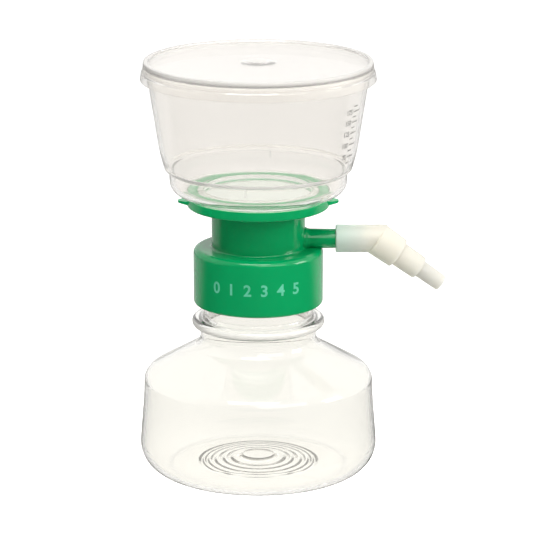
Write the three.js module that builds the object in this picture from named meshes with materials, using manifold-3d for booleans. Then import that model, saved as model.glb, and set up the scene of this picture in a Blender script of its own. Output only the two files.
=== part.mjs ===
// Vacuum filtration unit: a clear funnel with a loose lid, welded over a membrane on a green filter
// base, which screws onto a clear receiver bottle and carries a side arm with an angled hose adapter.
// Millimetres, +Z up. Every piece is first made about the bottle's axis, with z = 0 on the bench, and
// the whole unit is then moved along X so that the origin is under the middle of its bounding box.

import * as THREE from 'three';
import { mergeVertices } from 'three/addons/utils/BufferGeometryUtils.js';
import Module from 'manifold-3d';

const wasm = await Module();
wasm.setup();

// ---------------------------------------------------------------------------- driving dimensions

const roundSegments = 40;   // facets round each turned piece
const smallSegments = 24;   // facets round the side arm, the hose adapter and the plug
const seatGap = 0.3;        // left between two pieces that rest on each other
const overshoot = 1;        // how far a cutting tool runs past what it cuts
const sliver = 0.03;        // edges shorter than this, left by joins and cuts, are closed up

const bottle = {
  bodyRadius: 49.6,         // where the heel meets the side
  bodyTaper: 1.8,           // how much slimmer the side is at the shoulder
  sideHeight: 27.1,         // from the heel to the shoulder's corner
  heelRadius: 11.5,
  standingWidth: 2.6,       // flat ring that it stands on
  wall: 1.6,
  shoulderCorner: 4.8,
  shoulderSlope: 29.8,      // degrees up from level
  neckStep: 1.4,            // how much wider the neck is under the support ring than above it
  neckFillet: 4.8,
  neckLength: 6.3,          // from the fillet to the middle of the support ring
  ringReach: 3.4,           // how far the support ring stands out of the neck
  ringThickness: 3.8,
  finishRadius: 22.9,       // root of the thread
  finishWall: 1.7,
  finishLength: 27.3,       // from the middle of the support ring to the lip
  pushUp: 3.6,              // height of the base's middle over the bench
  hubRadius: 7.6,           // round hub in the middle of the base
  hubStep: 0.9,
  rippleInner: 10,          // inner and outer edge of the rings moulded in the base
  rippleOuter: 25,
  rippleCount: 5,
  rippleDepth: 0.4,
};

const thread = {
  pitch: 4,
  turns: 2,
  endBelowLip: 3.5,         // middle of the bottle thread where it ends
  maleHeight: 1.3,
  maleRootWidth: 2.3,
  maleCrestWidth: 1,
  crestGap: 0.7,            // between the bottle's crest and the collar's root
  rootGap: 0.4,             // between the collar's crest and the bottle's root
  femaleRootWidth: 1.9,
  femaleCrestWidth: 0.8,
  flankGap: 0.45,           // between the collar's thread and the turn of the bottle's thread above it
  stepsPerTurn: 24,
  fadeTurns: 0.07,          // stretch over which each end of the ridge rises
  endShare: 0.1,            // height that it starts and ends with, as a share
  sunkShare: 0.35,          // of its height, sunk into the wall behind its root
};

const gasket = {
  thickness: 1.55,
  width: 5,
  sideGap: 0.5,             // inside the root of the collar's thread
};

const collar = {
  threadWall: 2.1,          // from the outside to the root of its thread
  height: 23.8,
  ceiling: 2.3,
  topCorner: 2.5,
  bottomCorner: 0.6,
  threadLeadIn: 0.4,        // chamfer at the mouth of its thread
};

const neckTube = {
  radius: 19.4,
  wall: 1.9,
  height: 17.6,
  rootFillet: 1,
};

const flange = {
  rimWidth: 4.2,            // from the recess to the outside
  thickness: 3.9,
  corner: 0.7,
  recessSpare: 0.1,         // depth of the recess over the filter stack
  earReach: 3.8,            // how far each ear stands out of the rim
  earRootWidth: 8,
  earTipWidth: 2.6,
  earThickness: 1.5,
  earLap: 3,                // how far each ear runs in under the rim
  earDrop: 1.6,             // from the flange's top face to the ear's top
};

const spout = {
  radius: 4.5,
  bore: 2.8,
  reach: 7.4,               // below the collar's ceiling
  coneDrop: 7.5,            // from the recess floor to the mouth of the bore
  coneWall: 2,
};

const sideArm = {
  tipRadius: 3.9,
  draft: 0.25,              // how much wider it is at its root
  bore: 2.7,
  rise: 3.35,               // of its axis over the collar's top
  reach: 16.2,              // from the collar's side to its tip
};

const plug = {
  length: 9,
  setIn: 3,                 // from the arm's tip
};

const hoseAdapter = {
  socketWall: 1.6,
  socketEdge: 0.5,
  armShown: 5.1,            // from the collar's side to the socket's mouth
  pastArm: 6,               // from the arm's tip to the bend
  bendAngle: 35.5,          // degrees below the arm's axis
  passageRadius: 2.2,
  steps: [                  // three stepped sections, for three sizes of hose
    { length: 11, rootRadius: 6.9, tipRadius: 6.55 },
    { length: 11, rootRadius: 5.2, tipRadius: 5.0 },
    { length: 11.5, rootRadius: 3.7, tipRadius: 3.45 },
  ],
  stepEdge: 0.6,
};

const grid = {
  thickness: 1.2,
  slotWidth: 1.6,
  rimWidth: 2.5,            // plain rim outside the slots
  hubRadius: 3,             // plain middle inside the slots
  ribWidth: 1.4,            // plain ring between the two rows of slots
  innerSlots: 8,
  outerSlots: 20,
};

const membrane = {
  thickness: 0.4,
  lap: 2.5,                 // how far its edge is held under the funnel's floor
};

const funnel = {
  openingRadius: 22.5,
  weldRingDepth: 1.4,       // below the floor, over the flange
  floor: 1.7,
  wall: 1.6,
  footReach: 7,             // how far the lower wall's outside stands out of the flange
  footCorner: 5.1,
  footDraft: 0.4,           // how much wider the lower wall is at the ledge
  footHeight: 9.4,          // from the floor's underside to the ledge
  ledgeWidth: 1.9,
  ledgeHeight: 1.1,
  mouthRadius: 45.9,        // outside of the wall just under the rim
  bellyHeight: 7.2,         // from the ledge to where the wall gets straighter
  bellyReach: 0.7,          // how far the wall stands out there of a line from ledge to rim
  wallHeight: 40.2,         // from the ledge to the rim's underside
  rimReach: 0.5,
  rimHeight: 2.2,
};

const lid = {
  plate: 1.4,
  raisedRim: 0.8,           // height of the ring round the top face
  raisedRimWidth: 1.7,
  sideGap: 0.35,            // all round the funnel's rim
  wall: 0.9,
  stepDepth: 4.2,           // from the top of the ring to the step in the skirt
  stepReach: 0.45,
  skirtDepth: 7.8,
  flare: 0.5,               // of the skirt, above and below the step alike
  edge: 0.4,
  bossRadius: 3.9,
  bossHeight: 0.5,
  bossSpread: 3.2,          // width of the slope round the boss
};

// ---------------------------------------------------------------------------- derived dimensions

const neckRadius = bottle.finishRadius + bottle.neckStep;
const shoulderAngle = 90 - bottle.shoulderSlope;
const shoulderLine = bottleShoulder(0);
const ringCentreZ = shoulderLine.neckZ + bottle.neckLength;
const lipZ = ringCentreZ + bottle.finishLength;

const gasketZ = lipZ + seatGap;
const ceilingZ = gasketZ + gasket.thickness + seatGap;
const collarTopZ = ceilingZ + collar.ceiling;
const collarBottomZ = collarTopZ - collar.height;
const collarThreadRoot = bottle.finishRadius + thread.maleHeight + thread.crestGap;
const collarRadius = collarThreadRoot + collar.threadWall;
const threadStartZ = lipZ - thread.endBelowLip - thread.turns * thread.pitch;

const flangeBottomZ = collarTopZ + neckTube.height;
const flangeTopZ = flangeBottomZ + flange.thickness;
const membraneRadius = funnel.openingRadius + membrane.lap;
const recessRadius = membraneRadius + seatGap;
const flangeRadius = recessRadius + flange.rimWidth;
const recessDepth = grid.thickness + membrane.thickness + 2 * seatGap + flange.recessSpare;
const recessFloorZ = flangeTopZ - recessDepth;
const neckTubeBore = neckTube.radius - neckTube.wall;

const gridZ = recessFloorZ + seatGap;
const membraneZ = gridZ + grid.thickness + seatGap;

const armZ = collarTopZ + sideArm.rise;
const armTipX = collarRadius + sideArm.reach;
const socketMouthX = collarRadius + hoseAdapter.armShown;
const socketBore = sideArm.tipRadius + seatGap;
const socketRadius = socketBore + hoseAdapter.socketWall;
const bendX = armTipX + hoseAdapter.pastArm;

const funnelZ = flangeTopZ + seatGap;
const funnelFloorZ = funnelZ + funnel.weldRingDepth;
const ledgeZ = funnelFloorZ + funnel.footHeight;
const rimZ = ledgeZ + funnel.ledgeHeight + funnel.wallHeight;
const funnelTopZ = rimZ + funnel.rimHeight;
const footRadius = flangeRadius + funnel.footReach;
const funnelRimRadius = funnel.mouthRadius + funnel.rimReach;

const lidPlateZ = funnelTopZ + seatGap;
const lidTopZ = lidPlateZ + lid.plate + lid.raisedRim;

// ---------------------------------------------------------------------------- materials

const clearPlastic = { color: 0xf4f3ee, roughness: 0.06, metalness: 0, transparent: true, opacity: 0.35 };
const greenPlastic = { color: 0x01975a, roughness: 0.3, metalness: 0 };
const milkyPlastic = { color: 0xe6e4d8, roughness: 0.45, metalness: 0 };
const whitePlastic = { color: 0xe9e9e6, roughness: 0.5, metalness: 0 };
const membraneSheet = { color: 0xdfdfd9, roughness: 0.85, metalness: 0 };
const siliconeRubber = { color: 0xdcdcd6, roughness: 0.6, metalness: 0 };
const cottonFibre = { color: 0xf2f1ec, roughness: 0.95, metalness: 0 };

// ---------------------------------------------------------------------------- shape helpers

// Points (radius, height) along an arc, angles in degrees from the outward radius.
function arc(centreR, centreZ, radius, from, to, steps) {
  const points = [];
  for (let i = 0; i <= steps; i++) {
    const angle = THREE.MathUtils.degToRad(from + ((to - from) * i) / steps);
    points.push([centreR + radius * Math.cos(angle), centreZ + radius * Math.sin(angle)]);
  }
  return points;
}

// A geometry as a manifold solid: only positions, shared vertices merged, no empty triangles.
function toSolid(geometry) {
  const plain = geometry.clone();
  plain.deleteAttribute('normal');
  plain.deleteAttribute('uv');
  const merged = mergeVertices(plain, 1e-5);
  const index = merged.index.array;
  const kept = [];
  for (let i = 0; i < index.length; i += 3) {
    const [a, b, c] = [index[i], index[i + 1], index[i + 2]];
    if (a !== b && b !== c && c !== a) kept.push(a, b, c);
  }
  return new wasm.Manifold(new wasm.Mesh({
    numProp: 3,
    vertProperties: new Float32Array(merged.attributes.position.array),
    triVerts: new Uint32Array(kept),
  }));
}

function toGeometry(solid) {
  const mesh = solid.getMesh();
  const geometry = new THREE.BufferGeometry();
  geometry.setAttribute('position', new THREE.BufferAttribute(mesh.vertProperties, 3));
  geometry.setIndex(new THREE.BufferAttribute(mesh.triVerts, 1));
  return geometry;
}

// A closed outline of (radius, height) points, anticlockwise with the radius to the right, turned
// about +Z.
function turned(outline, segments = roundSegments) {
  const points = outline.map(([r, z]) => new THREE.Vector2(r, z));
  if (outline[0][0] > 0) points.push(points[0].clone());
  return new THREE.LatheGeometry(points, segments).rotateX(Math.PI / 2);
}

function turnedSolid(outline, segments) {
  return toSolid(turned(outline, segments));
}

// A solid turned about +Z, laid along +X from x = 0, tilted down by an angle and then moved.
function laidAlongX(outline, place, tilt = 0, segments = smallSegments) {
  const geometry = turned(outline, segments).rotateY(Math.PI / 2);
  geometry.rotateY(THREE.MathUtils.degToRad(tilt));
  return toSolid(geometry.translate(place.x, place.y, place.z));
}

// A ridge wound about +Z. Its section runs from rootRadius to crestRadius, and sinks into the wall
// behind the root, where it is joined.
function helicalRidge({ rootRadius, crestRadius, rootWidth, crestWidth, startZ }) {
  const steps = Math.round(thread.turns * thread.stepsPerTurn);
  const positions = [];
  for (let i = 0; i <= steps; i++) {
    const turn = (thread.turns * i) / steps;
    const nearestEnd = Math.min(turn, thread.turns - turn);
    const rise = Math.min(1, thread.endShare + (1 - thread.endShare) * (nearestEnd / thread.fadeTurns));
    const crest = rootRadius + (crestRadius - rootRadius) * rise;
    const sunk = rootRadius - (crestRadius - rootRadius) * thread.sunkShare;
    const sunkWidth = rootWidth + (rootWidth - crestWidth) * thread.sunkShare;
    const topWidth = rootWidth + (crestWidth - rootWidth) * rise;
    const angle = 2 * Math.PI * turn;
    const z = startZ + thread.pitch * turn;
    for (const [r, dz] of [[sunk, -sunkWidth], [crest, -topWidth], [crest, topWidth], [sunk, sunkWidth]]) {
      positions.push(r * Math.cos(angle), r * Math.sin(angle), z + dz / 2);
    }
  }
  const index = [];
  const quad = (a, b, c, d) => index.push(a, b, c, a, c, d);
  for (let i = 0; i < steps; i++) {
    for (let k = 0; k < 4; k++) {
      const next = (k + 1) % 4;
      quad(4 * i + k, 4 * i + next, 4 * i + 4 + next, 4 * i + 4 + k);
    }
  }
  quad(3, 2, 1, 0);
  quad(4 * steps, 4 * steps + 1, 4 * steps + 2, 4 * steps + 3);
  const outward = crestRadius > rootRadius;
  if (outward) index.reverse();
  const geometry = new THREE.BufferGeometry();
  geometry.setAttribute('position', new THREE.Float32BufferAttribute(positions, 3));
  geometry.setIndex(index);
  return toSolid(geometry);
}

function named(name, solid, look) {
  const geometry = toGeometry(solid.asOriginal().simplify(sliver));
  const mesh = new THREE.Mesh(geometry, new THREE.MeshStandardMaterial(look));
  mesh.name = name;
  return mesh;
}

// ---------------------------------------------------------------------------- receiver bottle

// The shoulder at a depth under the bottle's outside: the corner from the side, the straight slope,
// and the fillet up to the neck.
function bottleShoulder(depth) {
  const sideRadius = bottle.bodyRadius - bottle.bodyTaper;
  const cornerR = sideRadius - bottle.shoulderCorner;
  const cornerZ = bottle.heelRadius + bottle.sideHeight;
  const normal = [
    Math.cos(THREE.MathUtils.degToRad(shoulderAngle)),
    Math.sin(THREE.MathUtils.degToRad(shoulderAngle)),
  ];
  const reach = bottle.shoulderCorner + bottle.neckFillet;
  const filletR = neckRadius + bottle.neckFillet;
  const run = (cornerR + normal[0] * reach - filletR) / normal[1];
  const filletZ = cornerZ + normal[1] * reach + run * normal[0];
  const corner = arc(cornerR, cornerZ, bottle.shoulderCorner - depth, 0, shoulderAngle, 3);
  const fillet = arc(filletR, filletZ, bottle.neckFillet + depth, 180 + shoulderAngle, 180, 3);
  return { outline: [...corner, ...fillet], neckZ: filletZ };
}

// Height of the base's plain underside, which slopes from the hub's foot to the standing ring.
function baseHeight(r) {
  const standingR = bottle.bodyRadius - bottle.heelRadius - bottle.standingWidth;
  const share = (standingR - r) / (standingR - bottle.hubRadius);
  return (bottle.pushUp - bottle.hubStep) * share;
}

// The base's underside, from the axis to the standing ring: a hub, moulded rings and a plain slope.
function bottleBase() {
  const points = [
    [0, bottle.pushUp],
    [bottle.hubRadius - bottle.hubStep, bottle.pushUp],
    [bottle.hubRadius, baseHeight(bottle.hubRadius)],
  ];
  const half = (bottle.rippleOuter - bottle.rippleInner) / (2 * bottle.rippleCount);
  for (let i = 0; i <= 2 * bottle.rippleCount; i++) {
    const r = bottle.rippleInner + half * i;
    const crest = i % 2 ? bottle.rippleDepth : 0;
    points.push([r, baseHeight(r) + crest]);
  }
  points.push([bottle.bodyRadius - bottle.heelRadius - bottle.standingWidth, 0]);
  return points;
}

function bottleOutside() {
  const heelR = bottle.bodyRadius - bottle.heelRadius;
  const ringHalf = bottle.ringThickness / 2;
  const ringR = neckRadius + bottle.ringReach - ringHalf;
  return [
    ...bottleBase(),
    ...arc(heelR, bottle.heelRadius, bottle.heelRadius, -90, 0, 5),
    ...shoulderLine.outline,
    [neckRadius, ringCentreZ - ringHalf],
    ...arc(ringR, ringCentreZ, ringHalf, -90, 90, 4),
    [neckRadius, ringCentreZ + ringHalf],
    [bottle.finishRadius, ringCentreZ + ringHalf + neckRadius - bottle.finishRadius],
    [bottle.finishRadius, lipZ],
  ];
}

// The hollow, from the lip down to the axis.
function bottleInside() {
  const boreR = bottle.finishRadius - bottle.finishWall;
  const heelR = bottle.bodyRadius - bottle.heelRadius;
  const shoulder = bottleShoulder(bottle.wall).outline.reverse();
  const belowNeck = shoulder.filter(([r]) => r >= neckRadius - bottle.wall);
  return [
    [boreR, lipZ],
    [boreR, ringCentreZ],
    [neckRadius - bottle.wall, ringCentreZ - bottle.ringThickness],
    ...belowNeck.slice(1),
    ...arc(heelR, bottle.heelRadius, bottle.heelRadius - bottle.wall, 0, -90, 4),
    [heelR - bottle.standingWidth, bottle.wall],
    [bottle.hubRadius, baseHeight(bottle.hubRadius) + bottle.wall],
    [bottle.hubRadius - bottle.hubStep, bottle.pushUp + bottle.wall],
    [0, bottle.pushUp + bottle.wall],
  ];
}

function receiverBottle() {
  const shell = turnedSolid([...bottleOutside(), ...bottleInside()]);
  const ridge = helicalRidge({
    rootRadius: bottle.finishRadius,
    crestRadius: bottle.finishRadius + thread.maleHeight,
    rootWidth: thread.maleRootWidth,
    crestWidth: thread.maleCrestWidth,
    startZ: threadStartZ,
  });
  return named('receiver_bottle', shell.add(ridge), clearPlastic);
}

function mouthGasket() {
  const outer = collarThreadRoot - gasket.sideGap;
  const inner = outer - gasket.width;
  const top = gasketZ + gasket.thickness;
  const ring = turnedSolid([[inner, gasketZ], [outer, gasketZ], [outer, top], [inner, top]]);
  return named('mouth_gasket', ring, siliconeRubber);
}

// ---------------------------------------------------------------------------- filter base

// Threaded collar, neck tube and flange, with the funnel-shaped floor that drains to the spout.
function filterBaseBody() {
  const spoutEndZ = ceilingZ - spout.reach;
  const boreMouthZ = recessFloorZ - spout.coneDrop;
  const coneRise = spout.coneDrop / (neckTubeBore - spout.bore);
  const coneUnder = (r) => recessFloorZ - coneRise * (neckTubeBore - r) - spout.coneWall;
  const leadIn = collar.threadLeadIn;
  const fillet = neckTube.rootFillet;
  return turnedSolid([
    [spout.bore, spoutEndZ],
    [spout.radius, spoutEndZ],
    [spout.radius, coneUnder(spout.radius)],
    [neckTubeBore, coneUnder(neckTubeBore)],
    [neckTubeBore, ceilingZ],
    [collarThreadRoot, ceilingZ],
    [collarThreadRoot, collarBottomZ + leadIn],
    [collarThreadRoot + leadIn, collarBottomZ],
    ...arc(collarRadius - collar.bottomCorner, collarBottomZ + collar.bottomCorner,
      collar.bottomCorner, -90, 0, 2),
    ...arc(collarRadius - collar.topCorner, collarTopZ - collar.topCorner, collar.topCorner, 0, 90, 4),
    ...arc(neckTube.radius + fillet, collarTopZ + fillet, fillet, 270, 180, 2),
    [neckTube.radius, flangeBottomZ],
    ...arc(flangeRadius - flange.corner, flangeBottomZ + flange.corner, flange.corner, -90, 0, 2),
    [flangeRadius, flangeTopZ],
    [recessRadius, flangeTopZ],
    [recessRadius, recessFloorZ],
    [neckTubeBore, recessFloorZ],
    [spout.bore, boreMouthZ],
  ]);
}

// One ear of the flange, pointing along +X or, turned half round, along -X.
function flangeEar(turn) {
  const rootX = flangeRadius - flange.earLap;
  const shape = new THREE.Shape([
    new THREE.Vector2(rootX, -flange.earRootWidth / 2),
    new THREE.Vector2(flangeRadius, -flange.earRootWidth / 2),
    new THREE.Vector2(flangeRadius + flange.earReach, -flange.earTipWidth / 2),
    new THREE.Vector2(flangeRadius + flange.earReach, flange.earTipWidth / 2),
    new THREE.Vector2(flangeRadius, flange.earRootWidth / 2),
    new THREE.Vector2(rootX, flange.earRootWidth / 2),
  ]);
  const plate = new THREE.ExtrudeGeometry(shape, { depth: flange.earThickness, bevelEnabled: false });
  plate.translate(0, 0, flangeTopZ - flange.earDrop - flange.earThickness);
  return toSolid(plate.rotateZ(turn));
}

function armOutside() {
  const rootX = neckTube.radius - neckTube.wall / 2;
  return laidAlongX([
    [0, 0],
    [sideArm.tipRadius + sideArm.draft, 0],
    [sideArm.tipRadius, armTipX - rootX],
    [0, armTipX - rootX],
  ], new THREE.Vector3(rootX, 0, armZ));
}

function armBore() {
  const startX = neckTubeBore - overshoot;
  const endX = armTipX + overshoot;
  return laidAlongX([
    [0, 0],
    [sideArm.bore, 0],
    [sideArm.bore, endX - startX],
    [0, endX - startX],
  ], new THREE.Vector3(startX, 0, armZ));
}

function filterBase() {
  const ridge = helicalRidge({
    rootRadius: collarThreadRoot,
    crestRadius: bottle.finishRadius + thread.rootGap,
    rootWidth: thread.femaleRootWidth,
    crestWidth: thread.femaleCrestWidth,
    startZ: threadStartZ - thread.pitch / 2 + thread.flankGap / 2,
  });
  const solid = filterBaseBody()
    .add(ridge)
    .add(flangeEar(0))
    .add(flangeEar(Math.PI))
    .add(armOutside())
    .subtract(armBore());
  return named('filter_base', solid, greenPlastic);
}

function portPlug() {
  const radius = sideArm.bore - seatGap;
  const outline = [[0, 0], [radius, 0], [radius, plug.length], [0, plug.length]];
  const place = new THREE.Vector3(armTipX - plug.setIn - plug.length, 0, armZ);
  return named('port_plug', laidAlongX(outline, place), cottonFibre);
}

// ---------------------------------------------------------------------------- hose adapter

// Distance along the angled end to the far side of a given stepped section.
function stepsLength(count) {
  return hoseAdapter.steps.slice(0, count).reduce((sum, step) => sum + step.length, 0);
}

function adapterSocket() {
  const edge = hoseAdapter.socketEdge;
  const length = bendX - socketMouthX + socketRadius;
  return laidAlongX([
    [0, 0],
    [socketRadius - edge, 0],
    [socketRadius, edge],
    [socketRadius, length],
    [0, length],
  ], new THREE.Vector3(socketMouthX, 0, armZ));
}

// Everything past the plane in which the angled end starts, to trim the socket there.
function pastTheBend() {
  const size = 6 * socketRadius;
  const block = new THREE.BoxGeometry(size, size, size).translate(size / 2 + seatGap, 0, 0);
  block.rotateY(THREE.MathUtils.degToRad(hoseAdapter.bendAngle));
  return toSolid(block.translate(bendX, 0, armZ));
}

function adapterSteps() {
  const outline = [[0, 0]];
  hoseAdapter.steps.forEach((step, i) => {
    const edge = hoseAdapter.stepEdge;
    const end = stepsLength(i + 1);
    outline.push([step.rootRadius, stepsLength(i)]);
    outline.push([step.tipRadius, end - edge]);
    outline.push([step.tipRadius - edge, end]);
  });
  outline.push([0, stepsLength(hoseAdapter.steps.length)]);
  return laidAlongX(outline, new THREE.Vector3(bendX, 0, armZ), hoseAdapter.bendAngle);
}

// The socket's bore, the passage to the bend, and the passage down the angled end.
function adapterPassages() {
  const socketEnd = armTipX + seatGap - socketMouthX + overshoot;
  const passageEnd = bendX - socketMouthX + overshoot;
  const inner = laidAlongX([
    [0, 0],
    [socketBore, 0],
    [socketBore, socketEnd],
    [hoseAdapter.passageRadius, socketEnd],
    [hoseAdapter.passageRadius, passageEnd],
    [0, passageEnd],
  ], new THREE.Vector3(socketMouthX - overshoot, 0, armZ));
  const length = stepsLength(hoseAdapter.steps.length) + overshoot;
  const outer = laidAlongX([
    [0, 0],
    [hoseAdapter.passageRadius, 0],
    [hoseAdapter.passageRadius, length],
    [0, length],
  ], new THREE.Vector3(bendX, 0, armZ), hoseAdapter.bendAngle);
  return inner.add(outer);
}

function angledHoseAdapter() {
  const solid = adapterSocket()
    .subtract(pastTheBend())
    .add(adapterSteps())
    .subtract(adapterPassages());
  return named('hose_adapter', solid, milkyPlastic);
}

// ---------------------------------------------------------------------------- filter stack

// A row of radial slots between two radii, as one cutting solid.
function slotRow(count, innerR, outerR) {
  const length = outerR - innerR;
  let row = null;
  for (let i = 0; i < count; i++) {
    const slot = new THREE.BoxGeometry(length, grid.slotWidth, grid.thickness + 2 * overshoot);
    slot.translate((innerR + outerR) / 2, 0, gridZ + grid.thickness / 2);
    const solid = toSolid(slot.rotateZ((2 * Math.PI * i) / count));
    row = row ? row.add(solid) : solid;
  }
  return row;
}

function supportGrid() {
  const top = gridZ + grid.thickness;
  const slotsEnd = membraneRadius - grid.rimWidth;
  const rowsMeet = (grid.hubRadius + slotsEnd) / 2;
  const plate = turnedSolid([[0, gridZ], [membraneRadius, gridZ], [membraneRadius, top], [0, top]])
    .subtract(slotRow(grid.innerSlots, grid.hubRadius, rowsMeet - grid.ribWidth / 2))
    .subtract(slotRow(grid.outerSlots, rowsMeet + grid.ribWidth / 2, slotsEnd));
  return named('support_grid', plate, whitePlastic);
}

function filterMembrane() {
  const top = membraneZ + membrane.thickness;
  const disc = turnedSolid([[0, membraneZ], [membraneRadius, membraneZ], [membraneRadius, top], [0, top]]);
  return named('filter_membrane', disc, membraneSheet);
}

// ---------------------------------------------------------------------------- funnel and lid

// The belly of the upper wall at a depth under its outside.
function funnelBelly(depth) {
  const ledgeR = footRadius + funnel.footDraft + funnel.ledgeWidth;
  const slope = (funnel.mouthRadius - ledgeR) / funnel.wallHeight;
  const r = ledgeR + slope * funnel.bellyHeight + funnel.bellyReach;
  return [r - depth, ledgeZ + funnel.ledgeHeight + funnel.bellyHeight];
}

function funnelOutside() {
  const cornerR = footRadius - funnel.footCorner;
  const lowerWallTopR = footRadius + funnel.footDraft;
  const ledgeR = lowerWallTopR + funnel.ledgeWidth;
  return [
    [funnel.openingRadius, funnelZ],
    [flangeRadius, funnelZ],
    [flangeRadius, funnelFloorZ],
    ...arc(cornerR, funnelFloorZ + funnel.footCorner, funnel.footCorner, -90, 0, 5),
    [lowerWallTopR, ledgeZ],
    [ledgeR, ledgeZ + funnel.ledgeHeight],
    funnelBelly(0),
    [funnel.mouthRadius, rimZ],
    [funnelRimRadius, rimZ + funnel.rimReach],
    [funnelRimRadius, funnelTopZ],
  ];
}

function funnelInside() {
  const floorTopZ = funnelFloorZ + funnel.floor;
  const cornerR = footRadius - funnel.footCorner;
  const lowerWallTopR = footRadius + funnel.footDraft;
  const ledgeR = lowerWallTopR + funnel.ledgeWidth;
  return [
    [funnel.mouthRadius - funnel.wall, funnelTopZ],
    [funnel.mouthRadius - funnel.wall, rimZ],
    funnelBelly(funnel.wall),
    [ledgeR - funnel.wall, ledgeZ + funnel.ledgeHeight + funnel.wall / 2],
    [lowerWallTopR - funnel.wall, ledgeZ + funnel.wall / 2],
    ...arc(cornerR, funnelFloorZ + funnel.footCorner, funnel.footCorner - funnel.floor, 0, -90, 4),
    [funnel.openingRadius, floorTopZ],
  ];
}

function clearFunnel() {
  return named('funnel', turnedSolid([...funnelOutside(), ...funnelInside()]), clearPlastic);
}

function funnelLid() {
  const innerR = funnelRimRadius + lid.sideGap;
  const topR = innerR + lid.wall - lid.flare;
  const stepR = innerR + lid.wall;
  const lowerR = stepR + lid.stepReach;
  const skirtR = lowerR + lid.flare;
  const plateTopZ = lidPlateZ + lid.plate;
  const stepZ = lidTopZ - lid.stepDepth;
  const skirtZ = lidTopZ - lid.skirtDepth;
  const rimInnerR = topR - lid.raisedRimWidth;
  return named('funnel_lid', turnedSolid([
    [0, lidPlateZ],
    [innerR - lid.edge, lidPlateZ],
    [innerR, lidPlateZ - lid.edge],
    [skirtR - lid.wall, skirtZ],
    [skirtR - lid.edge, skirtZ],
    [skirtR, skirtZ + lid.edge],
    [lowerR, stepZ - lid.stepReach],
    [stepR, stepZ],
    [topR, lidTopZ - lid.edge],
    [topR - lid.edge, lidTopZ],
    [rimInnerR, lidTopZ],
    [rimInnerR - lid.edge, plateTopZ],
    [lid.bossRadius + lid.bossSpread, plateTopZ],
    [lid.bossRadius, plateTopZ + lid.bossHeight],
    [0, plateTopZ + lid.bossHeight],
  ]), clearPlastic);
}

// ---------------------------------------------------------------------------- the whole unit

const unit = new THREE.Group();
unit.add(
  receiverBottle(),
  mouthGasket(),
  filterBase(),
  portPlug(),
  angledHoseAdapter(),
  supportGrid(),
  filterMembrane(),
  clearFunnel(),
  funnelLid(),
);

const middle = new THREE.Box3().setFromObject(unit).getCenter(new THREE.Vector3());
unit.position.x = -middle.x;

export default unit;
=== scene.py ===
import math

import bmesh
import bpy
from bpy.props import FloatProperty, FloatVectorProperty, IntProperty, PointerProperty, StringProperty
from bpy.types import Operator, Panel, PropertyGroup
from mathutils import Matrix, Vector


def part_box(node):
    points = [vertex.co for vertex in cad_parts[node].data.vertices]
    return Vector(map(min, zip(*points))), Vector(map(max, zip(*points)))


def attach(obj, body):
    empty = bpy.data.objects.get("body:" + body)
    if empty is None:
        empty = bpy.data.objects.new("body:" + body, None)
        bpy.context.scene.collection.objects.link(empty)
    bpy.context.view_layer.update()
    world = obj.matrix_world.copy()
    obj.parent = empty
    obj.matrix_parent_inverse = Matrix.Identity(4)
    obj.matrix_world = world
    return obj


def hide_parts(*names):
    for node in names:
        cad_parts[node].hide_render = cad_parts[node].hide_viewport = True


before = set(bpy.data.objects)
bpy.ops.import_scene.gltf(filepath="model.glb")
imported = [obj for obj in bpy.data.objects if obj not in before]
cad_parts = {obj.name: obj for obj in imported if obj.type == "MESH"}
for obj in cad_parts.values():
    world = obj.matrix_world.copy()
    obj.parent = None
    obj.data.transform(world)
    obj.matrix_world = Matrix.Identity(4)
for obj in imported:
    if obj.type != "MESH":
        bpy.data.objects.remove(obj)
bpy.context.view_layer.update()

bl_info = {
    "name": "Vacuum filtration unit",
    "version": (1, 0, 0),
    "blender": (4, 5, 0),
    "location": "3D View > Sidebar > Filtration",
    "description": "Models a clear filter funnel on a green screw-on base and a clear receiver bottle",
    "category": "Add Mesh",
}

# ------------------------------------------------------------------ places taken from the frame

UP = Vector((0, 0, 1))
RIGHT = Vector((1, 0, 0))


def node_box(node):
    low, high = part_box(node)
    return Vector(low), Vector(high)


BOTTLE_LOW, BOTTLE_HIGH = node_box("receiver_bottle")
GASKET_LOW, GASKET_HIGH = node_box("mouth_gasket")
BASE_LOW, BASE_HIGH = node_box("filter_base")
PLUG_LOW, PLUG_HIGH = node_box("port_plug")
ADAPTER_LOW, ADAPTER_HIGH = node_box("hose_adapter")
GRID_LOW, GRID_HIGH = node_box("support_grid")
SHEET_LOW, SHEET_HIGH = node_box("filter_membrane")
FUNNEL_LOW, FUNNEL_HIGH = node_box("funnel")
LID_LOW, LID_HIGH = node_box("funnel_lid")

AXIS_X = (BOTTLE_LOW.x + BOTTLE_HIGH.x) / 2
AXIS_FOOT = Vector((AXIS_X, 0, 0))
LIP = BOTTLE_HIGH.z
ARM_CENTRE = Vector((AXIS_X, 0, (PLUG_LOW.z + PLUG_HIGH.z) / 2))
ARM_TIP = BASE_HIGH.x - AXIS_X


# ------------------------------------------------------------------------------------- settings


def amount(title, text, value, **more):
    return FloatProperty(name=title, description=text, default=value, **more)


def length(title, text, mm):
    return amount(title, text, mm / 1000, min=0.0, precision=5, unit="LENGTH", subtype="DISTANCE")


def angle(title, text, degrees):
    return amount(title, text, math.radians(degrees), unit="ROTATION", subtype="ANGLE")


def colour(title, text, hexed):
    """A colour given as it shows on a screen, stored as light."""
    parts = [int(hexed[i : i + 2], 16) / 255 for i in (0, 2, 4)]
    light = [c / 12.92 if c <= 0.04045 else ((c + 0.055) / 1.055) ** 2.4 for c in parts]
    return FloatVectorProperty(
        name=title, description=text, default=light, min=0.0, max=1.0, size=3, subtype="COLOR"
    )


def radius_of(low, high):
    """Half a round piece's depth in millimetres, a hair under so that it stays inside its box."""
    return (high.y - low.y) * 500 - 0.001


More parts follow.
